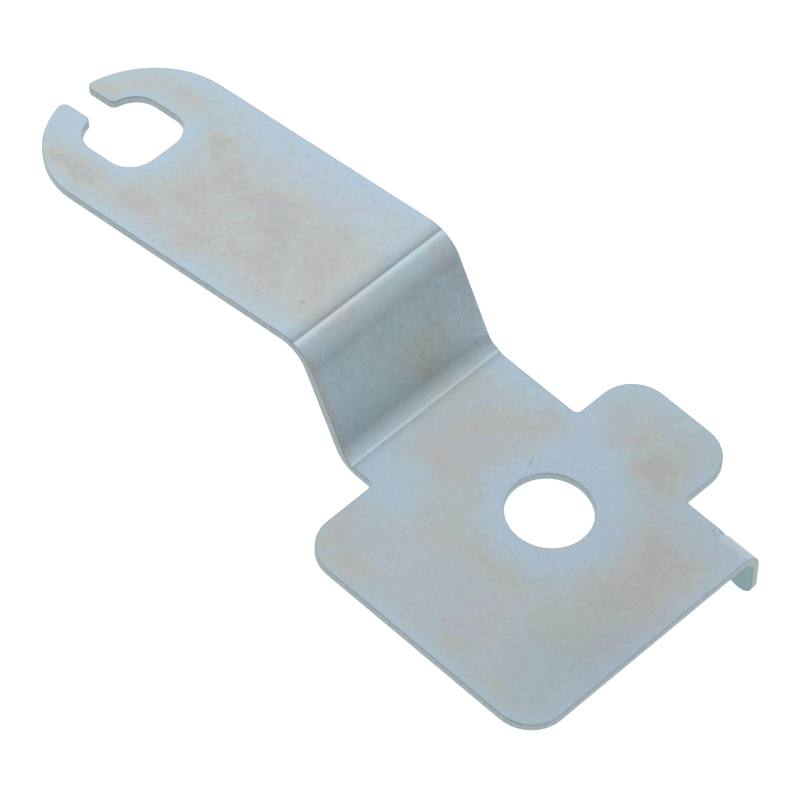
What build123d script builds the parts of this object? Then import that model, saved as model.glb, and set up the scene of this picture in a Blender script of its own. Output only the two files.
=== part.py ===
from build123d import *
import os
from math import cos, radians, sin

# Hose bracket folded from one blank of zinc-plated sheet steel. The blank is pierced and trimmed
# in one stroke, then folded three times: up out of the base plate, over at the crest into a long
# arm, and down at one front corner into a lug that stops the bracket from turning on its bolt.
# Frame: the origin is the centre of the bolt hole on the underside of the base plate, +Z points
# up through the hole and +X runs along the arm to the open hose seat. All lengths are in mm.

# Sheet
sheet = 1.2                # thickness of the steel
edge_roll = 0.2            # rounding that the punch leaves round the struck face
tight_bend = 2.5           # inside radius of the lower bend and of the lug's bend

# Strip: the band that becomes the neck, the web and the arm
strip_width = 30.35
strip_shift = 0.175        # its middle lies this far from the bolt hole, towards the tab

# Base plate
bolt_hole = 13.0           # diameter, clearance for an M12 bolt
front_reach = 25.35        # bolt hole to the free front edge
shoulder_reach = 20.4      # bolt hole to the shoulder where the wing ends
neck_length = 3.85         # shoulder to the start of the lower bend
wing_width = 15.3          # how far the plate stands out past the strip on the wide side
plate_corner = 6.0
tab_width = 21.2           # tab on the other side, opposite the wing
tab_length = 11.65
tab_shift = 1.45           # its middle lies this far in front of the bolt hole
tab_corner = 6.0
root_corner = 1.0          # inside corners of the outline

# Folded web and arm
web_angle = 59.7           # slope of the web above the base plate, in degrees
web_length = 14.5          # straight stretch between the two bends
crest_bend = 4.8           # inside radius of the bend between web and arm
arm_droop = 9.65           # slope of the arm down towards its tip, in degrees
arm_length = 58.6          # end of the crest bend to the tip of the rounded end

# Hose seat: a rounded square that opens through a slot in the arm's tip
seat_size = 13.0
seat_inset = 12.7          # tip of the arm to the middle of the seat
slot_width = 4.4
lip_corner = 1.2           # where the slot opens into the seat
prong_corner = 1.1         # where the slot leaves the rounded end

# Lug folded down at the front corner
lug_width = 5.5
lug_stand = 1.6            # its outer face stands this far outside the strip's edge
lug_leg = 7.15             # straight stretch below the bend
lug_angle = 87.0           # turn of its bend, in degrees
lug_front_corner = 1.8
lug_back_corner = 3.0
heel_length = 1.8          # stretch of the plate's edge that the bend draws down with it

# Places that several features share
near_edge = -strip_shift - strip_width / 2
far_edge = -strip_shift + strip_width / 2
bend_start = shoulder_reach + neck_length
lug_back = lug_width - front_reach
lug_fold = near_edge - lug_stand + tight_bend + sheet
smooth_turn = 10           # faces of one skin meet at less than this angle, in degrees


def block(x_from, x_to, y_from, y_to):
    """Rectangle between two pairs of limits."""
    middle = Pos((x_from + x_to) / 2, (y_from + y_to) / 2)
    return middle * Rectangle(x_to - x_from, y_to - y_from)


def rounded(outline, corners, radius):
    """Outline with the vertices at the given corners rounded off."""
    picked = [outline.vertices().sort_by_distance(corner)[0] for corner in corners]
    return fillet(picked, radius)


def thickened(underside, side):
    """Section of the sheet: the line of its underside, one thickness wide."""
    return make_face(offset(Wire(underside), amount=sheet, side=side).edges())


def base_plate():
    """Flat plate with its wing, its tab and the pierced bolt hole."""
    wing_edge = far_edge + wing_width
    tab_front = -tab_shift - tab_width / 2
    tab_back = -tab_shift + tab_width / 2
    tab_edge = near_edge - tab_length
    tab_round = min(tab_corner, tab_width / 2 - edge_roll, tab_length - root_corner - edge_roll)
    outline = block(-front_reach, shoulder_reach, near_edge, wing_edge)
    outline += block(0, bend_start, near_edge, far_edge)
    outline += block(tab_front, tab_back, tab_edge, 0)
    outline = rounded(outline, [(-front_reach, wing_edge), (shoulder_reach, wing_edge)], plate_corner)
    outline = rounded(outline, [(tab_front, tab_edge), (tab_back, tab_edge)], tab_round)
    roots = [(shoulder_reach, far_edge), (tab_front, near_edge), (tab_back, near_edge)]
    outline = rounded(outline, roots, root_corner)
    outline -= block(-front_reach, lug_back + heel_length, near_edge, lug_fold)
    outline -= Circle(bolt_hole / 2)
    return extrude(outline, sheet)


def strip_line():
    """Underside of the strip: the lower bend, the web and the crest bend, seen from the side."""
    rise = JernArc((bend_start, 0), (1, 0), tight_bend + sheet, web_angle)
    web = Line(rise @ 1, rise @ 1 + (rise % 1) * web_length)
    crest = JernArc(web @ 1, web % 1, crest_bend, -web_angle - arm_droop)
    return [rise, web, crest]


def folded_web():
    """Lower bend, web and crest bend across the whole strip."""
    section = thickened(strip_line(), Side.LEFT)
    return extrude(Plane.XZ.offset(-far_edge) * section, strip_width)


def arm():
    """Arm with its rounded end and open hose seat, cut out in its own sloping plane."""
    start = strip_line()[-1] @ 1
    slope = radians(arm_droop)
    along = (cos(slope), 0, -sin(slope))
    upright = (sin(slope), 0, cos(slope))
    end_middle = arm_length - strip_width / 2
    seat_middle = arm_length - seat_inset
    seat_corner = (seat_size - slot_width) / 2
    lip = seat_middle + seat_size / 2
    slot = slot_width / 2
    outline = block(0, end_middle, near_edge, far_edge)
    outline += Pos(end_middle, -strip_shift) * Circle(strip_width / 2)
    outline -= Pos(seat_middle, 0) * RectangleRounded(seat_size, seat_size, seat_corner)
    outline -= block(seat_middle, arm_length + slot_width, -slot, slot)
    outline = rounded(outline, [(lip, -slot), (lip, slot)], lip_corner)
    outline = rounded(outline, [(arm_length, -slot), (arm_length, slot)], prong_corner)
    lie = Plane(origin=(start.X, 0, start.Y), x_dir=along, z_dir=upright)
    return extrude(lie * outline, sheet)


def lug_bend():
    """Section of the lug's bend, seen from the arm's end."""
    return thickened([JernArc((lug_fold, 0), (-1, 0), tight_bend, lug_angle)], Side.RIGHT)


def lug():
    """Lug folded down off the plate's front corner: its bend, then a leg with a rounded foot."""
    turn = radians(lug_angle)
    leg_start = (-front_reach, lug_fold - tight_bend * sin(turn), tight_bend * cos(turn) - tight_bend)
    outward = (0, -sin(turn), cos(turn))
    back_round = min(lug_back_corner, lug_width - lug_front_corner - edge_roll)
    outline = block(0, lug_width, -lug_leg, 0)
    outline = rounded(outline, [(0, -lug_leg)], lug_front_corner)
    outline = rounded(outline, [(lug_width, -lug_leg)], back_round)
    leg = extrude(Plane(origin=leg_start, x_dir=(1, 0, 0), z_dir=outward) * outline, sheet)
    return extrude(Plane.YZ.offset(-front_reach) * lug_bend(), lug_width) + leg


def heel():
    """Edge of the plate behind the lug, drawn down from flat into the lug's bend."""
    flat = block(near_edge, lug_fold, 0, sheet)
    bent = lug_bend() & block(near_edge, lug_fold, -tight_bend, sheet)
    ends = [Plane.YZ.offset(lug_back) * bent, Plane.YZ.offset(lug_back + heel_length) * flat]
    return loft([end.face() for end in ends], ruled=True)


def struck_rim(solid):
    """Edges round the struck face: the smooth skin that spreads from the top of the plate."""
    faces = solid.faces()
    skin = [faces.sort_by_distance((0, far_edge, sheet))[0]]
    for face in skin:
        for edge in face.edges():
            middle = edge @ 0.5
            for other in faces:
                meets = other not in skin and edge in other.edges()
                if meets and face.normal_at(middle).get_angle(other.normal_at(middle)) < smooth_turn:
                    skin.append(other)
    edges = [edge for face in skin for edge in face.edges()]
    return [edge for edge in edges if edges.count(edge) == 1]


bracket = base_plate() + folded_web() + arm() + lug() + heel()
bracket = bracket.fillet(edge_roll, struck_rim(bracket))
os.makedirs("parts", exist_ok=True)
export_step(bracket, "parts/bracket.step")
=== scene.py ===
import bmesh
import bpy
import numpy as np
from math import asin, atan2, ceil, cos, degrees, pi, radians, sin, sqrt
from mathutils import Matrix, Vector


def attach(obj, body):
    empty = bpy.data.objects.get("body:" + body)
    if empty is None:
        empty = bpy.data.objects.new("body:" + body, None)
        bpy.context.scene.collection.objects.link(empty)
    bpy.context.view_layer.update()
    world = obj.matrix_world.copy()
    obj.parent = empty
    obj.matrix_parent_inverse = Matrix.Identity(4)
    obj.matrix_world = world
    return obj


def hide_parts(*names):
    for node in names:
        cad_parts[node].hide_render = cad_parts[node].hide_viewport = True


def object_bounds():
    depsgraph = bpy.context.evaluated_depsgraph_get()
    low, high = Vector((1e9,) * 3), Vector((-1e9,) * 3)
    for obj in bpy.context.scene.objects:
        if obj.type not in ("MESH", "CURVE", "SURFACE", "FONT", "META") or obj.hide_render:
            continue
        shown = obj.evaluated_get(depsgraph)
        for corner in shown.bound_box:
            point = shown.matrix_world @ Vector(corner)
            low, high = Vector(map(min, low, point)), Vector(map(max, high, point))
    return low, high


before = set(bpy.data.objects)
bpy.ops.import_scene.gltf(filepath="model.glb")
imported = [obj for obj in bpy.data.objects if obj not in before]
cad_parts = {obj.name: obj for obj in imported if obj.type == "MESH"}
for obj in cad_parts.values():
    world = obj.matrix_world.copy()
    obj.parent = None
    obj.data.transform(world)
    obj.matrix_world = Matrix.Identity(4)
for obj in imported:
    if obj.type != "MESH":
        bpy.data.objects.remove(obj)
cad_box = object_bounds()


# Camera: a long lens on a tripod, above the wide side of the base plate and beyond its free front
# edge, looking down on the struck face with the arm running away to the upper left.
view_azimuth = 220.2744
view_elevation = 52.6654
view_roll = 5.199
view_distance = 0.87673
view_centre = (0.024621, 0.005838, 0.008743)

lens = bpy.data.cameras.new("camera")
lens.sensor_width = 36.0
lens.lens = 278.07
lens.clip_start = 0.01
lens.clip_end = 20.0
camera = bpy.data.objects.new("camera", lens)
bpy.context.scene.collection.objects.link(camera)
camera.matrix_world = (
    Matrix.Translation(view_centre)
    @ Matrix.Rotation(radians(view_azimuth), 4, "Z")
    @ Matrix.Rotation(radians(90 - view_elevation), 4, "X")
    @ Matrix.Translation((0, 0, view_distance))
    @ Matrix.Rotation(radians(view_roll), 4, "Z")
)
bpy.context.scene.camera = camera


# Bracket: one stamping of 1.2 mm sheet steel. The flat blank is pierced and trimmed in one stroke,
# which rolls its struck rim and tears the lower part of its cut edge. It is then folded three times
# (lug, lower bend, crest) and zinc plated with a thin blue film. Sizes are in mm until the end.
sheet = 1.2
edge_roll = 0.13
soft_dip = 0.012
soft_reach = 0.6

# Base plate with its wing, bolt hole and tab
near_edge = -15.35
far_edge = 15.0
front_edge = -25.35
shoulder = 20.4
wing_edge = 30.3
plate_corner = 6.0
bolt_hole = 13.0
tab_front = -12.05
tab_back = 9.15
tab_edge = -27.0
tab_corner = 6.0
root_corner = 1.0

# Web and arm, with the two bends between them and the plate
bend_start = 24.25
tight_bend = 2.5
web_angle = radians(59.7)
web_length = 14.43
crest_bend = 4.8
arm_droop = radians(9.65)
arm_length = 58.5
lower_onset = 3.2
crest_onset = 1.0

# Open seat near the arm's tip
seat_size = 13.0
seat_inset = 12.7
slot_width = 4.4
lip_corner = 1.2
prong_corner = 1.1

# Lug, and the heel where its bend runs out in the plate's edge
lug_back = -19.85
lug_fold = -13.25
lug_leg = 7.15
lug_angle = radians(87.0)
lug_front_corner = 2.4
lug_back_corner = 3.0
heel_corner = 0.3
heel_length = 1.7

# Metal squeezed out of the cut edge, beside the lower bend and at the heel
squeeze_reach = 1.5
bulge = 0.15
bulge_middle = bend_start + 1.3
bulge_spread = 1.0
bulge_side = 13.0
nub = 0.25
nub_middle = lug_back + 0.1
nub_spread = 0.5
nub_end = lug_fold - 4.0

# How finely the blank is divided: on the flats, over each fold, from just before the heel, round its
# corners in degrees, in bands along the rim from the outside in, and up the wall of the cut edge
flat_step = 0.9
lower_step = 0.25
crest_step = 0.4
lug_step = 0.3
heel_step = 0.12
before_heel = 0.6
corner_step = 9
rim_bands = (0.03, 0.045, 0.055, 0.07, 0.15, 0.25)
wall_rows = (0.25, 0.5, 0.75)
wall_margin = 0.1
skin_tolerance = 0.01

# Places along the blank, measured where folding neither stretches nor shortens the sheet
lower_turn = tight_bend + sheet / 2
crest_turn = crest_bend + sheet / 2
web_start = bend_start + lower_turn * web_angle
web_end = web_start + web_length
arm_start = web_end + crest_turn * (web_angle + arm_droop)
arm_tip = arm_start + arm_length
lug_bend_end = lug_fold - lower_turn * lug_angle
lug_foot = lug_bend_end - lug_leg


def verts_of(parts):
    """The vertices among an operator's results."""
    return [part for part in parts if isinstance(part, bmesh.types.BMVert)]


def middle_of(part):
    """Middle of a vertex, an edge or a face, for sorting."""
    verts = [part] if isinstance(part, bmesh.types.BMVert) else part.verts
    return tuple(np.mean(sorted(tuple(vert.co) for vert in verts), axis=0))


def trace_cutting_line(blank, corners):
    """Closed line of the blanking die: every corner's arc is spun, and straight sides join the arcs."""
    ends = []
    for x, y, radius, start, turn in corners:
        point = (x + radius * cos(radians(start)), y + radius * sin(radians(start)), 0)
        first = blank.verts.new(point)
        steps = ceil(max(abs(turn) / corner_step, abs(radians(turn)) * radius / flat_step))
        arc = bmesh.ops.spin(
            blank, geom=[first], cent=(x, y, 0), axis=(0, 0, 1), angle=radians(turn), steps=steps
        )
        ends.append((first, verts_of(arc["geom_last"])[0]))
    for (_, last), (first, _) in zip(ends, ends[1:] + ends[:1]):
        blank.edges.new((last, first))
    bmesh.ops.remove_doubles(blank, verts=blank.verts[:], dist=1e-3)


def outline_corners():
    """The blank's corners in order round it: centre, radius, first direction and turn of each arc."""
    strip_middle = (near_edge + far_edge) / 2
    end_round = (far_edge - near_edge) / 2
    end_middle = arm_tip - end_round
    slot = slot_width / 2
    seat_middle = arm_tip - seat_inset
    seat_corner = (seat_size - slot_width) / 2
    seat_outer = seat_middle + seat_size / 2 - seat_corner
    seat_inner = seat_middle - seat_size / 2 + seat_corner
    lip_reach = sqrt((seat_corner + lip_corner) ** 2 - lip_corner**2)
    lip_turn = degrees(atan2(lip_reach, lip_corner))
    near_rise = -slot - prong_corner - strip_middle
    far_rise = slot + prong_corner - strip_middle
    near_lean = degrees(asin(near_rise / (end_round - prong_corner)))
    far_lean = degrees(asin(far_rise / (end_round - prong_corner)))
    near_reach = (end_round - prong_corner) * cos(radians(near_lean))
    far_reach = (end_round - prong_corner) * cos(radians(far_lean))
    return [
        (front_edge + lug_front_corner, lug_foot + lug_front_corner, lug_front_corner, 180, 90),
        (lug_back - lug_back_corner, lug_foot + lug_back_corner, lug_back_corner, 270, 90),
        (lug_back + heel_corner, near_edge - heel_corner, heel_corner, 180, -90),
        (tab_front - root_corner, near_edge - root_corner, root_corner, 90, -90),
        (tab_front + tab_corner, tab_edge + tab_corner, tab_corner, 180, 90),
        (tab_back - tab_corner, tab_edge + tab_corner, tab_corner, 270, 90),
        (tab_back + root_corner, near_edge - root_corner, root_corner, 180, -90),
        (end_middle, strip_middle, end_round, 270, 90 + near_lean),
        (end_middle + near_reach, -slot - prong_corner, prong_corner, near_lean, 90 - near_lean),
        (seat_outer + lip_reach, -slot - lip_corner, lip_corner, 90, lip_turn),
        (seat_outer, -slot, seat_corner, lip_turn - 90, -lip_turn),
        (seat_inner, -slot, seat_corner, 270, -90),
        (seat_inner, slot, seat_corner, 180, -90),
        (seat_outer, slot, seat_corner, 90, -lip_turn),
        (seat_outer + lip_reach, slot + lip_corner, lip_corner, 270 - lip_turn, lip_turn),
        (end_middle + far_reach, slot + prong_corner, prong_corner, 270, 90 + far_lean),
        (end_middle, strip_middle, end_round, far_lean, 90 - far_lean),
        (shoulder + root_corner, far_edge + root_corner, root_corner, 270, -90),
        (shoulder - plate_corner, wing_edge - plate_corner, plate_corner, 0, 90),
        (front_edge + plate_corner, wing_edge - plate_corner, plate_corner, 90, 90),
    ]


def score(blank, place, across, only=None):
    """Cuts every face, or those that `only` picks, along the line square to `across` through `place`."""
    faces = [face for face in blank.faces if only is None or only(face.calc_center_median())]
    edges = {edge for face in faces for edge in face.edges}
    verts = {vert for face in faces for vert in face.verts}
    bmesh.ops.bisect_plane(
        blank, geom=[*verts, *edges, *faces], dist=1e-4, plane_co=place, plane_no=across
    )


def steps_between(start, end, step):
    """Evenly spaced places from start to end, no further apart than step."""
    return np.linspace(start, end, ceil((end - start) / step) + 1)


blank = bmesh.new()
trace_cutting_line(blank, outline_corners())
bmesh.ops.create_circle(blank, cap_ends=False, segments=72, radius=bolt_hole / 2)
cutting_line = np.array([[[*vert.co.xy] for vert in edge.verts] for edge in blank.edges])
bmesh.ops.triangle_fill(blank, use_beauty=True, edges=blank.edges[:], normal=(0, 0, 1))
# The fill's own lines are marked as seams, and taken out again once the blank is scored
for edge in blank.edges:
    edge.seam = len(edge.link_faces) == 2
inside = blank.faces[:]
for width in rim_bands:
    bmesh.ops.inset_region(blank, faces=inside, use_boundary=True, use_even_offset=True, thickness=width)

lower_from = bend_start - lower_onset / 2
lower_to = web_start + lower_onset / 2
crest_from = web_end - crest_onset / 2
crest_to = arm_start + crest_onset / 2
heel_end = lug_back + heel_length
for x in (
    *steps_between(front_edge, lower_from, flat_step),
    *steps_between(lower_from, lower_to, lower_step),
    *steps_between(lower_to, crest_from, flat_step),
    *steps_between(crest_from, crest_to, crest_step),
    *steps_between(crest_to, arm_tip, flat_step),
):
    score(blank, (x, 0, 0), (1, 0, 0))
for y in steps_between(lug_foot, wing_edge, flat_step):
    score(blank, (0, y, 0), (0, 1, 0))
for y in steps_between(lug_bend_end, lug_fold, lug_step):
    score(blank, (0, y, 0), (0, 1, 0), lambda middle: middle.x < heel_end)
for x in steps_between(lug_back - before_heel, heel_end, heel_step):
    score(blank, (x, 0, 0), (1, 0, 0), lambda middle: middle.y < lug_fold)
bmesh.ops.dissolve_edges(blank, edges=[edge for edge in blank.edges if edge.seam], use_verts=True)

# The sheet's thickness. Rows of lines round the cut edge let it bulge more near the struck face.
raised = verts_of(bmesh.ops.extrude_face_region(blank, geom=blank.faces[:])["geom"])
bmesh.ops.translate(blank, verts=raised, vec=(0, 0, sheet))
bmesh.ops.recalc_face_normals(blank, faces=blank.faces[:])
# Material 0 is the skin, and material 1 the wall of the cut edge
for face in blank.faces:
    face.smooth = True
    face.material_index = int(abs(face.normal.z) < 0.5)
for height in wall_rows:
    score(blank, (0, 0, height), (0, 0, 1), lambda middle: wall_margin < middle.z < sheet - wall_margin)
# The rim is sharp on the underside only, because the struck side is rolled
for edge in blank.edges:
    on_underside = all(vert.co.z < skin_tolerance for vert in edge.verts)
    edge.smooth = not (on_underside and any(face.material_index for face in edge.link_faces))
    edge.seam = False
# Extruding and cutting leave their results in no fixed order, so they are sorted by their middles
for parts in (blank.verts, blank.edges, blank.faces):
    order = sorted(parts, key=middle_of)
    ranks = {part: rank for rank, part in enumerate(order)}
    parts.sort(key=ranks.get)


def rim_distance(points):
    """How far each point of the blank lies from the nearest cut edge."""
    starts = cutting_line[:, 0]
    sides = cutting_line[:, 1] - starts
    batches = 40
    nearest = []
    for batch in np.array_split(points, batches):
        offset = batch[:, None, :] - starts
        share = np.clip((offset * sides).sum(2) / (sides**2).sum(1), 0, 1)
        nearest.append(np.linalg.norm(offset - share[..., None] * sides, axis=2).min(1))
    return np.concatenate(nearest)


def rolled(height, rim):
    """The struck skin dips to the cut edge: a tight roll, then a soft shoulder further in."""
    tight = np.clip(1 - rim / edge_roll, 0, 1)
    roll = edge_roll * (1 - np.sqrt(1 - tight**2))
    dip = soft_dip * np.clip(1 - rim / soft_reach, 0, 1) ** 2
    return height - (height > sheet - skin_tolerance) * (roll + dip)


def bend_down(length, height, turn, radius):
    """Run and drop of a point `length` past the fold and `height` above the neutral line."""
    bent = np.minimum(length, radius * lug_angle)
    angle = turn * bent / radius
    straight = length - bent
    run = bent * np.sinc(angle / pi) + straight * np.cos(angle) + height * np.sin(angle)
    drop = bent * angle / 2 * np.sinc(angle / 2 / pi) ** 2 + straight * np.sin(angle)
    return run, drop + height * (1 - np.cos(angle))


def strip_run():
    """Places along the strip, with the slope, x and z of its neutral line found by adding up short steps."""
    step = 0.01
    along = np.arange(front_edge - 1, arm_tip + 1, step)
    slope = np.zeros_like(along)
    # Sheet springs back round a bend's ends, so each curve sets in over a short stretch
    for start, end, turn, onset in (
        (bend_start, web_start, web_angle, lower_onset),
        (web_end, arm_start, -web_angle - arm_droop, crest_onset),
    ):
        reach = round(onset / step)
        bend = np.pad(np.interp(along, [start, end], [0, turn]), reach, mode="edge")
        slope += np.convolve(bend, np.ones(reach) / reach, mode="same")[reach:-reach]
    x = along[0] + np.cumsum(np.cos(slope)) * step
    z = sheet / 2 + np.cumsum(np.sin(slope)) * step
    return along, slope, x, z


def swell(along, middle, spread):
    """One at the middle, and fading to nothing on both sides of it."""
    return np.exp(-(((along - middle) / spread) ** 2))


def squeezed(along, across, height, rim):
    """Pushes the cut edge out where a fold squeezes it: beside the lower bend, and at the lug's heel."""
    near_rim = np.clip(1 - rim / squeeze_reach, 0, 1)
    beside_bend = swell(along, bulge_middle, bulge_spread) * height / sheet * (np.abs(across) > bulge_side)
    at_heel = swell(along, nub_middle, nub_spread) * (across < near_edge + squeeze_reach) * (across > nub_end)
    return across + near_rim * (bulge * beside_bend * np.sign(across) - nub * at_heel)


def folded(along, across, height):
    """Moves points of the flat blank to their places on the folded bracket."""
    past_fold = np.maximum(lug_fold - across, 0)
    # The lug's fold runs out smoothly over the heel
    heel = np.clip((along - lug_back) / heel_length, 0, 1)
    kept = (1 - heel) ** 2 * (1 + 2 * heel)
    run, drop = bend_down(past_fold, height - sheet / 2, kept, lower_turn)
    lift = height - sheet / 2 - np.where(past_fold > 0, drop, 0)
    across = np.where(past_fold > 0, lug_fold - run, across)
    places, slopes, xs, zs = strip_run()
    slope = np.interp(along, places, slopes)
    x = np.interp(along, places, xs) - lift * np.sin(slope)
    z = np.interp(along, places, zs) + lift * np.cos(slope)
    return np.stack([x, across, z], axis=1)


bracket = bpy.data.meshes.new("bracket")
blank.to_mesh(bracket)
blank.free()
flat = np.zeros(len(bracket.vertices) * 3)
bracket.vertices.foreach_get("co", flat)
flat = flat.reshape(-1, 3)
rim = rim_distance(flat[:, :2])
flat[:, 1] = squeezed(*flat.T, rim)
flat[:, 2] = rolled(flat[:, 2], rim)
mm = 0.001
bracket.vertices.foreach_set("co", (folded(*flat.T) * mm).ravel())
bracket.attributes.new("blank", "FLOAT_VECTOR", "POINT").data.foreach_set("vector", flat.ravel())
bracket.attributes.new("rim", "FLOAT", "POINT").data.foreach_set("value", rim)
stamping = bpy.data.objects.new("stamped_bracket", bracket)
bpy.context.scene.collection.objects.link(stamping)
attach(stamping, "root")
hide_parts("bracket")


def node(tree, kind, *values, **settings):
    """Adds a node to a tree. Values fill its inputs in order; a capitalised setting fills the input of
    that name, and any other setting is the node's own. A socket is linked and a plain value is set."""
    made = tree.nodes.new("ShaderNode" + kind)
    named = {name: value for name, value in settings.items() if name[0].isupper()}
    for name, value in settings.items():
        if name not in named:
            setattr(made, name, value)
    targets = list(zip(made.inputs, values))
    targets += [(made.inputs[name.replace("_", " ")], value) for name, value in named.items()]
    for target, value in targets:
        if isinstance(value, bpy.types.NodeSocket):
            tree.links.new(value, target)
        else:
            target.default_value = value
    return made


def sum_of(tree, *values):
    """Adds up values, most of them sockets."""
    total = values[0]
    for value in values[1:]:
        total = node(tree, "Math", total, value, operation="ADD").outputs[0]
    return total


def times(tree, value, factor):
    """Product of two values."""
    return node(tree, "Math", value, factor, operation="MULTIPLY").outputs[0]


def scaled(tree, value, factor, offset):
    """A value times a factor, plus an offset."""
    return node(tree, "Math", value, factor, offset, operation="MULTIPLY_ADD").outputs[0]


def largest(tree, first, second):
    """The larger of two values."""
    return node(tree, "Math", first, second, operation="MAXIMUM").outputs[0]


def distance_from(tree, value, middle):
    """How far a value lies from the middle, on either side."""
    offset = node(tree, "Math", value, middle, operation="SUBTRACT").outputs[0]
    return node(tree, "Math", offset, operation="ABSOLUTE").outputs[0]


def ramp(tree, value, start, end, first, last):
    """Even passage from `first`, where the value is `start`, to `last`, where it is `end`."""
    return node(tree, "MapRange", value, start, end, first, last).outputs[0]


def fade(tree, value, start, end, first, last):
    """The same passage, setting in and running out smoothly."""
    passage = node(tree, "MapRange", value, start, end, first, last, interpolation_type="SMOOTHSTEP")
    return passage.outputs[0]


def tinted(tree, colour, tint):
    """A colour multiplied by another."""
    return node(tree, "VectorMath", colour, tint, operation="MULTIPLY").outputs[0]


def dimmed(tree, colour, brightness):
    """A colour multiplied by a value."""
    return node(tree, "VectorMath", colour, operation="SCALE", Scale=brightness).outputs[0]


def colours_along(tree, value, colours):
    """Colour that a value picks from a scale, given as levels from 0 to 1 and the colour at each."""
    scale = node(tree, "ValToRGB", value)
    stops = scale.color_ramp.elements
    while len(stops) < len(colours):
        stops.new(0.5)
    for stop, (level, colour) in zip(stops, colours):
        stop.position = level
        stop.color = (*colour, 1)
    return scale.outputs["Color"]


def wander(tree, place, size, amount, detail=3.0):
    """Smooth random value about zero, with features of that size in mm, reaching about +-amount."""
    noise = node(tree, "TexNoise", Vector=place, Scale=1 / size, Detail=detail).outputs["Fac"]
    return scaled(tree, noise, 4 * amount, -2 * amount)


def stirred(tree, place, push, scale, detail, roughness=0.5):
    """A place pushed about in the sheet's plane by noise, so that what is drawn there strays by some mm."""
    noise = node(tree, "TexNoise", Vector=place, Scale=scale, Detail=detail, Roughness=roughness)
    stray = node(tree, "VectorMath", noise.outputs["Color"], (0.5, 0.5, 0.5), operation="SUBTRACT")
    moved = node(tree, "VectorMath", stray.outputs[0], (push, push, 0), place, operation="MULTIPLY_ADD")
    return moved.outputs[0]


# Marks on the blank reach this far up and down, so that they go right through the sheet
through_sheet = 100


def oval(tree, place, middle, reach, gain=1.0):
    """One at the middle of an oval on the blank, fading to nothing at its reach; gain widens the top."""
    inside = node(
        tree, "Mapping", place, vector_type="TEXTURE", Location=(*middle, 0), Scale=(*reach, through_sheet)
    )
    rise = node(tree, "TexGradient", inside.outputs[0], gradient_type="SPHERICAL").outputs["Fac"]
    return node(tree, "Math", rise, gain, operation="MULTIPLY", use_clamp=True).outputs[0]


def pooled(tree, place, value, pools):
    """Adds to a value the change that each of the pools makes."""
    for along, across, reach_along, reach_across, change in pools:
        pool = oval(tree, place, (along, across), (reach_along, reach_across), gain=1.8)
        value = scaled(tree, pool, change, value)
    return value


def new_group(name, inputs, outputs):
    """Empty node group with the named sockets, each a value, a vector or a colour."""
    tree = bpy.data.node_groups.new(name, "ShaderNodeTree")
    for label, kind in inputs:
        tree.interface.new_socket(label, in_out="INPUT", socket_type="NodeSocket" + kind)
    for label, kind in outputs:
        tree.interface.new_socket(label, in_out="OUTPUT", socket_type="NodeSocket" + kind)
    return tree, tree.nodes.new("NodeGroupInput").outputs, tree.nodes.new("NodeGroupOutput").inputs


# Passivation film: it drains thin round the rim and the hole, pools on the flats, and its colour runs
# from blue through straw and brown to violet as it gets thicker.
film_pools = (
    # along, across, reach along, reach across, change of thickness
    (-3.0, 22.5, 26, 8.5, -0.15),
    (-21.0, 22.0, 6, 10, -0.12),
    (-10.0, 28.6, 16, 2.4, 0.12),
    (-24.2, 18.0, 1.8, 14, 0.12),
    (13.0, 29.5, 9, 4, 0.14),
    (17.0, 29.0, 4, 3, 0.10),
    (19.8, 23.5, 3, 9, 0.34),
    (12.0, 18.0, 5, 12, -0.14),
    (-15.0, 14.0, 9, 11, -0.12),
    (-19.0, 0.0, 7, 12, 0.06),
    (-7.0, 9.0, 5, 5, -0.08),
    (0.0, -1.0, 15, 15, -0.40),
    (2.0, -9.0, 10, 6, -0.30),
    (15.0, 0.0, 7, 8, -0.08),
    (19.0, 12.5, 9, 8, -0.34),
    (13.5, 5.5, 6, 6, 0.12),
    (20.5, -5.0, 3, 5, -0.10),
    (20.0, -13.0, 8, 5, -0.24),
    (-20.0, -12.0, 8, 4, -0.16),
    (-8.0, -15.5, 5, 4, 0.20),
    (3.0, -14.0, 6, 4, -0.22),
    (6.0, -21.0, 6, 7, -0.12),
    (35.0, 0.0, 16, 60, -0.24),
    (30.0, 7.0, 10, 9, -0.18),
    (33.0, -4.0, 4, 5, 0.18),
    (36.0, -15.5, 18, 4.0, 0.30),
    (40.0, 5.0, 6, 12, -0.12),
    (44.0, 12.5, 4, 4, 0.12),
    (51.0, -8.0, 9, 4, -0.10),
    (60.0, 6.0, 14, 9, 0.06),
    (67.0, 3.5, 5, 4, -0.12),
    (45.0, -9.0, 4, 5, -0.10),
    (70.0, 12.5, 6, 4, 0.14),
    (69.0, -2.0, 12, 3.5, 0.16),
    (68.0, -12.0, 38, 8, -0.24),
    (67.0, -6.5, 6, 3, 0.18),
    (76.5, -7.5, 3, 3, -0.10),
    (82.0, -6.0, 3, 4, 0.24),
    (79.0, -11.0, 5, 3, -0.12),
    (84.0, 9.0, 5, 6, 0.12),
    (94.4, 0.0, 14, 11, -0.27),
    (97.0, 11.0, 8, 4.5, 0.20),
    (101.5, 9.0, 4, 4, 0.20),
    (98.0, -10.0, 8, 4, 0.20),
    (91.5, -9.0, 6, 5, 0.24),
    (103.5, -4.5, 4, 3.5, 0.36),
)
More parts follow.
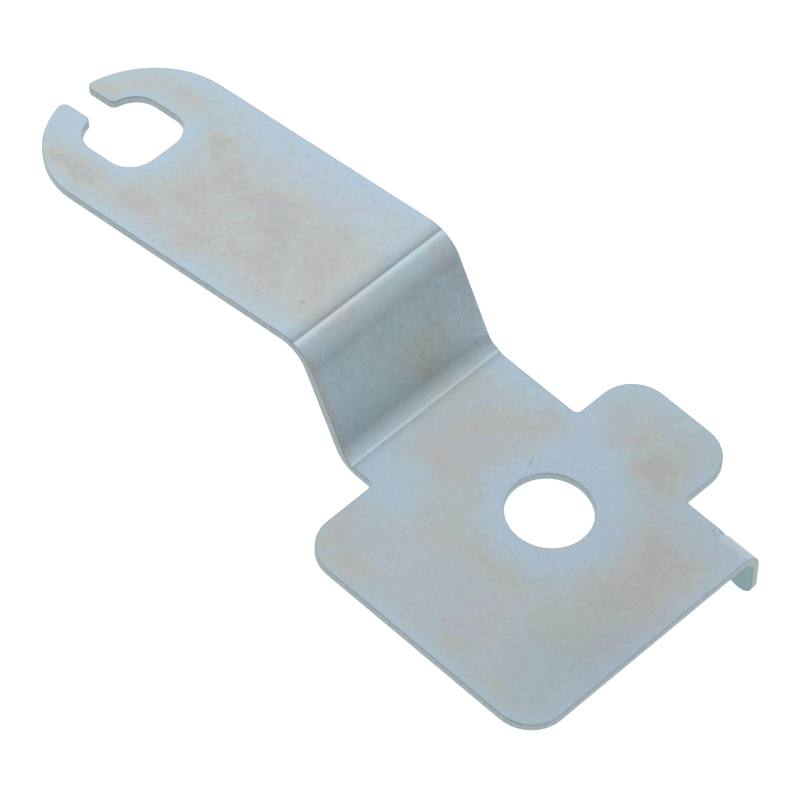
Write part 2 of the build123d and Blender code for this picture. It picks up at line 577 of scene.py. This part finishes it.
film_colours = (
    # thickness, colour
    (0.00, (0.542, 0.682, 0.805)),
    (0.18, (0.548, 0.676, 0.758)),
    (0.30, (0.552, 0.662, 0.708)),
    (0.40, (0.565, 0.630, 0.690)),
    (0.50, (0.576, 0.640, 0.642)),
    (0.60, (0.588, 0.612, 0.590)),
    (0.70, (0.566, 0.572, 0.572)),
    (0.80, (0.552, 0.580, 0.622)),
    (1.00, (0.545, 0.600, 0.620)),
)
# Pearl: the film turns between rose and green over a few millimetres
pearl_pools = (
    # along, across, reach along, reach across, change towards rose
    (-23.0, 13.0, 5, 9, 0.04),
    (-20.0, -13.0, 9, 6, 0.035),
    (-3.0, 20.0, 16, 8, 0.02),
    (-14.0, 13.0, 5, 4, -0.03),
    (18.0, 0.0, 6, 10, 0.02),
    (36.0, 2.0, 11, 16, -0.035),
    (48.0, 0.0, 4, 14, 0.02),
    (62.0, 6.0, 6, 6, -0.02),
    (66.0, -11.0, 16, 4, 0.03),
    (76.0, 12.0, 12, 4, 0.03),
)
film, given, result = new_group(
    "passivation_film", [("Blank", "Vector"), ("Rim", "Float")], [("Color", "Color")]
)
film_place = given["Blank"]
rim_here = given["Rim"]
drift = stirred(film, film_place, push=14, scale=1 / 9, detail=6.0, roughness=0.55)
flow = stirred(film, film_place, push=34, scale=1 / 11, detail=3.0)
full_thickness = 0.60
drain_rate = 0.35
drained = node(film, "Math", times(film, rim_here, -drain_rate), operation="EXPONENT").outputs[0]
thickness = scaled(film, drained, -full_thickness, full_thickness)
thickness = sum_of(
    film,
    pooled(film, drift, thickness, film_pools),
    wander(film, flow, size=9.0, amount=0.13, detail=2.0),
    wander(film, flow, size=3.0, amount=0.07, detail=2.0),
    wander(film, film_place, size=0.7, amount=0.022),
)
# Wrinkles: fine curling lines where the film dried on the arm
curl = node(film, "TexNoise", Vector=film_place, Scale=0.22, Detail=5.0, Distortion=2.2).outputs["Fac"]
wrinkle = fade(film, distance_from(film, curl, 0.5), 0.0, 0.035, 1.0, 0.0)
dried = oval(film, drift, (68, 4), (30, 13), gain=2.0)
thickness = scaled(film, times(film, wrinkle, dried), 0.13, thickness)
# The bath ran off the web's far side, and left a thicker line beside its rim
along, across, _ = node(film, "SeparateXYZ", film_place).outputs
beside_rim = fade(film, rim_here, 0.7, 2.0, 0.66, 0.0)
round_web = fade(film, distance_from(film, along, 34.5), 7.5, 11.5, 1.0, 0.0)
far_side = ramp(film, across, 11.0, 14.0, 0.0, 1.0)
thickness = sum_of(film, thickness, times(film, times(film, beside_rim, round_web), far_side))
film_colour = colours_along(film, thickness, film_colours)
# Speckle: single crystals catch the light in slightly different colours
speckle = node(film, "TexNoise", Vector=film_place, Scale=1.4, Detail=4.0).outputs["Color"]
speckle = node(film, "VectorMath", speckle, (0.07,) * 3, (0.965,) * 3, operation="MULTIPLY_ADD").outputs[0]
pearl = pooled(film, drift, wander(film, flow, size=6.0, amount=0.045), pearl_pools)
towards_rose = (0.5, -0.6, 0.35)
rose = node(film, "VectorMath", pearl, towards_rose, (1, 1, 1), operation="MULTIPLY_ADD").outputs[0]
film_colour = tinted(film, tinted(film, film_colour, speckle), rose)
# The film is rubbed off the very rim, which is left grey
bare = ramp(film, rim_here, 0.03, 0.30, 0.8, 0.0)
bare_zinc = (0.42, 0.465, 0.475, 1)
rubbed = node(film, "MixRGB", bare, film_colour, bare_zinc).outputs[0]
film.links.new(rubbed, result["Color"])


# Plated grain: the fine crystal of the zinc, and hairlines and scuffs from handling
hairlines = (
    # along, across, half length, lean in degrees, bow, depth
    (7.7, -3.9, 2.5, 102, 0.25, 1.3),
    (56.5, -12.6, 5.6, -24, 0.10, 0.9),
    (60.8, -14.3, 1.6, 12, -0.10, 0.5),
    (68.2, -12.0, 3.6, -32, 0.22, 0.8),
    (9.5, 9.6, 3.9, 62, 0.0, 0.55),
    (8.2, 11.6, 3.0, 70, 0.05, 0.3),
    (0.5, 9.2, 3.2, 8, 0.30, 0.5),
    (-2.6, 9.8, 1.6, 40, -0.35, 0.4),
    (-0.6, 18.6, 1.9, 118, 0.10, 0.4),
    (-5.0, 25.4, 3.0, 78, 0.45, 0.35),
    (-3.6, 24.0, 2.6, 20, -0.50, 0.3),
    (36.6, -7.0, 3.2, -52, 0.20, 0.4),
    (59.0, 8.5, 3.4, -40, 0.30, 0.3),
    (72.5, 8.8, 2.8, 64, 0.30, 0.35),
)
scuffs = (
    # along, across, reach
    (50.4, 8.6, 0.5),
    (57.0, 11.4, 0.6),
    (66.0, 9.4, 0.7),
    (69.5, 8.6, 0.5),
    (79.0, 4.6, 0.45),
    (77.5, 1.4, 0.35),
    (74.0, 5.2, 0.3),
    (-4.4, -9.8, 0.4),
    (-17.5, 7.6, 0.3),
    (32.6, -3.4, 0.5),
    (27.9, 12.6, 0.4),
    (30.2, 13.2, 0.3),
    (-6.6, 16.4, 0.22),
    (-9.4, 17.6, 0.18),
)
grain, given, result = new_group(
    "plated_grain", [("Blank", "Vector")], [("Height", "Float"), ("Marks", "Float"), ("Cloud", "Float")]
)
grain_place = given["Blank"]
crystal = node(grain, "TexNoise", Vector=grain_place, Scale=7.0, Detail=3.0, Roughness=0.6).outputs["Fac"]
unsteady = stirred(grain, grain_place, push=1.5, scale=0.9, detail=3.0)
frayed = stirred(grain, grain_place, push=1.6, scale=2.2, detail=4.0)
hair_width = 0.045
marks = 0.0
for along, across, half_length, lean, bow, depth in hairlines:
    hair = node(grain, "Mapping", unsteady, vector_type="TEXTURE", Location=(along, across, 0),
                Rotation=(0, 0, radians(lean)), Scale=(half_length, half_length, through_sheet))
    down, aside, _ = node(grain, "SeparateXYZ", hair.outputs[0]).outputs
    off_line = scaled(grain, times(grain, down, down), -bow, aside)
    on_line = node(grain, "Math", off_line, 0.0, hair_width / half_length, operation="COMPARE").outputs[0]
    within = node(grain, "Math", down, 0.0, 1.0, operation="COMPARE").outputs[0]
    marks = largest(grain, marks, times(grain, times(grain, on_line, within), depth))
for along, across, reach in scuffs:
    marks = largest(grain, marks, oval(grain, frayed, (along, across), (reach, reach), gain=0.9))
cloud = sum_of(
    grain,
    wander(grain, grain_place, size=6.0, amount=0.5, detail=5.0),
    wander(grain, grain_place, size=1.2, amount=0.9),
    wander(grain, grain_place, size=0.35, amount=1.3),
)
grain.links.new(crystal, result["Height"])
grain.links.new(marks, result["Marks"])
grain.links.new(cloud, result["Cloud"])


def metal(name):
    """Metal with its place on the flat blank: the material, its node tree and that place."""
    material = bpy.data.materials.new(name)
    material.use_nodes = True
    tree = material.node_tree
    tree.nodes["Principled BSDF"].inputs["Metallic"].default_value = 1.0
    return material, tree, node(tree, "Attribute", attribute_name="blank").outputs["Vector"]


# Skin: the struck face and the underside, with darker stripes painted across the strip on and beside the
# bends
dark_bend_stripes = (
    # along, reach, depth
    (23.9, 0.5, 0.03),
    (25.2, 0.9, 0.12),
    (28.5, 0.9, 0.02),
    (41.4, 0.9, 0.06),
    (46.35, 0.35, 0.10),
)
skin, tree, blank_place = metal("plated_skin")
finish = tree.nodes["Principled BSDF"]
from_rim = node(tree, "Attribute", attribute_name="rim").outputs["Fac"]
film_here = node(tree, "Group", node_tree=film, Blank=blank_place, Rim=from_rim).outputs["Color"]
texture = node(tree, "Group", node_tree=grain, Blank=blank_place).outputs
along, across, height_up = node(tree, "SeparateXYZ", blank_place).outputs
brightness = scaled(tree, texture["Cloud"], 0.035, 1.0)
brightness = times(tree, brightness, scaled(tree, texture["Marks"], -0.22, 1.0))
for stripe, reach, depth in dark_bend_stripes:
    dull = fade(tree, distance_from(tree, along, stripe), 0.0, reach, 1.0 - depth, 1.0)
    brightness = times(tree, brightness, dull)
# The plate's free end is a little duller from handling. The lug is painted much darker from its fold on:
# painted shade for the shadowed floor under the plate that it faces.
handled = fade(tree, along, -20.0, 12.0, 0.955, 1.0)
past_fold = fade(tree, across, -16.2, -14.4, 1.0, 0.0)
by_lug = fade(tree, along, -19.0, -18.2, 1.0, 0.0)
lug_painted_shade = scaled(tree, times(tree, past_fold, by_lug), -0.40, 1.0)
brightness = times(tree, times(tree, brightness, handled), lug_painted_shade)
# The corner of the wing is dulled by fingers
fingered = scaled(tree, oval(tree, blank_place, (-21, 15), (11, 17)), -0.10, 1.0)
brightness = times(tree, brightness, fingered)
# The web is painted darker towards its near side and lighter towards its far side: painted shade and light
# that even out the floor's reflection across it
web_painted_shade = ramp(tree, across, -13.0, 13.0, -0.08, 0.05)
on_web = fade(tree, distance_from(tree, along, 34.0), 4.5, 9.0, 1.0, 0.0)
brightness = times(tree, brightness, scaled(tree, web_painted_shade, on_web, 1.0))
struck_colour = dimmed(tree, film_here, brightness)
# The underside is painted darker and greener: the darkening is painted shade for the shadowed floor that it
# faces
underside_shade_tint = (0.70, 0.86, 0.84)
under = node(tree, "Math", height_up, 0.1, operation="LESS_THAN").outputs[0]
underside_shaded = node(tree, "MixRGB", under, struck_colour, tinted(tree, struck_colour, underside_shade_tint))
tree.links.new(underside_shaded.outputs[0], finish.inputs["Base Color"])
# Both bends are burnished where the die slid over them
roughness = scaled(tree, texture["Cloud"], 0.03, 0.23)
for bend_middle, reach, polish in ((45.8, 2.2, -0.12), (25.2, 1.8, -0.05)):
    burnish = fade(tree, distance_from(tree, along, bend_middle), 0.3 * reach, reach, polish, 0.0)
    roughness = sum_of(tree, roughness, burnish)
tree.links.new(roughness, finish.inputs["Roughness"])
crystal_height = 0.000003
relief = node(tree, "Bump", Strength=1.0, Distance=crystal_height, Height=texture["Height"])
tree.links.new(relief.outputs["Normal"], finish.inputs["Normal"])
bracket.materials.append(skin)

# Cut edge: a smoother sheared band under the struck rim, a rougher and paler torn one below it, and
# fine lines down both
wall_tones = (
    # height in the sheet, colour
    (0.20, (0.380, 0.462, 0.488)),
    (0.60, (0.362, 0.425, 0.448)),
    (0.82, (0.318, 0.366, 0.380)),
    (1.00, (0.300, 0.342, 0.352)),
)
torn_edge, tree, blank_place = metal("plated_cut_edge")
finish = tree.nodes["Principled BSDF"]
height_up = node(tree, "SeparateXYZ", blank_place).outputs["Z"]
sheared = fade(tree, height_up, 0.45, 0.7, 0.0, 1.0)
drawn_out = tinted(tree, blank_place, (1, 1, 0.15))
streaks = wander(tree, drawn_out, size=0.25, amount=0.12)
wall_tone = colours_along(tree, times(tree, height_up, 1 / sheet), wall_tones)
wall_colour = dimmed(tree, wall_tone, sum_of(tree, streaks, 1.0))
tree.links.new(wall_colour, finish.inputs["Base Color"])
tree.links.new(scaled(tree, sheared, -0.12, 0.52), finish.inputs["Roughness"])
streak_height = 0.00002
relief = node(tree, "Bump", Strength=1.0, Distance=streak_height, Height=streaks)
tree.links.new(relief.outputs["Normal"], finish.inputs["Normal"])
bracket.materials.append(torn_edge)


# Floor: white card under the bracket, which stands on the tip of its lug. The light falls off
# across the card, so it is white round the bracket and greyer further out.
card = bmesh.new()
bmesh.ops.create_grid(card, x_segments=1, y_segments=1, size=1.5)
bmesh.ops.translate(card, verts=card.verts[:], vec=(0, 0, cad_box[0][2]))
floor_mesh = bpy.data.meshes.new("floor")
card.to_mesh(floor_mesh)
card.free()
floor = bpy.data.objects.new("floor", floor_mesh)
bpy.context.scene.collection.objects.link(floor)
white_card = bpy.data.materials.new("white_card")
white_card.use_nodes = True
tree = white_card.node_tree
tree.nodes.remove(tree.nodes["Principled BSDF"])
spot = node(tree, "TexCoord").outputs["Object"]
reach = node(tree, "VectorMath", spot, view_centre, operation="DISTANCE").outputs["Value"]
glow_level = fade(tree, reach, 0.10, 0.28, 0.93, 0.24)
path = node(tree, "LightPath")
seen = sum_of(
    tree, path.outputs["Is Camera Ray"], path.outputs["Is Glossy Ray"], path.outputs["Is Transmission Ray"]
)
lit = node(tree, "BsdfDiffuse", (0.2, 0.2, 0.2, 1))
glow = node(tree, "Emission", (1, 1, 1, 1), times(tree, seen, glow_level))
both = node(tree, "AddShader", lit.outputs[0], glow.outputs[0])
tree.links.new(both.outputs[0], tree.nodes["Material Output"].inputs["Surface"])
# Only rays that look at the card meet its glow, so it is not sampled as a lamp, which would add noise
white_card.cycles.emission_sampling = "NONE"
floor_mesh.materials.append(white_card)


# Light: a pale studio whose brightness depends on the tilt about the Y axis. A panel that begins
# overhead fades towards the plate's free edge, a dim gap lies beside it, and the wall on the arm's side
# gets brighter lower down.
wall_light = (
    # tilt in degrees towards the free edge, brightness
    (-180, 0.50),
    (-90, 0.95),
    (-45, 0.86),
    (-26, 0.75),
    (-19, 0.75),
    (-12, 0.65),
    (-6, 0.56),
    (-1, 0.54),
    (3, 1.10),
    (8, 0.97),
    (15, 0.84),
    (24, 0.70),
    (46, 0.62),
    (66, 0.56),
    (80, 0.50),
    (100, 0.42),
    (180, 0.50),
)
studio = bpy.data.worlds.new("studio")
bpy.context.scene.world = studio
studio.use_nodes = True
room = studio.node_tree
direction = node(room, "TexCoord").outputs["Generated"]
towards_arm, towards_wing, upward = node(room, "SeparateXYZ", direction).outputs
tilt = node(room, "Math", times(room, towards_arm, -1.0), upward, operation="ARCTAN2").outputs[0]
turn = scaled(room, tilt, 1 / (2 * pi), 0.5)
wall_scale = [(angle / 360 + 0.5, (level, level, level)) for angle, level in wall_light]
room.links.new(colours_along(room, turn, wall_scale), room.nodes["Background"].inputs["Color"])
# The wall behind the camera, on the wing's side, is dimmer
camera_side = fade(room, towards_wing, 0.0, 0.9, 1.0, 0.5)
room.links.new(camera_side, room.nodes["Background"].inputs["Strength"])

scene = bpy.context.scene
scene.view_settings.view_transform = "Standard"
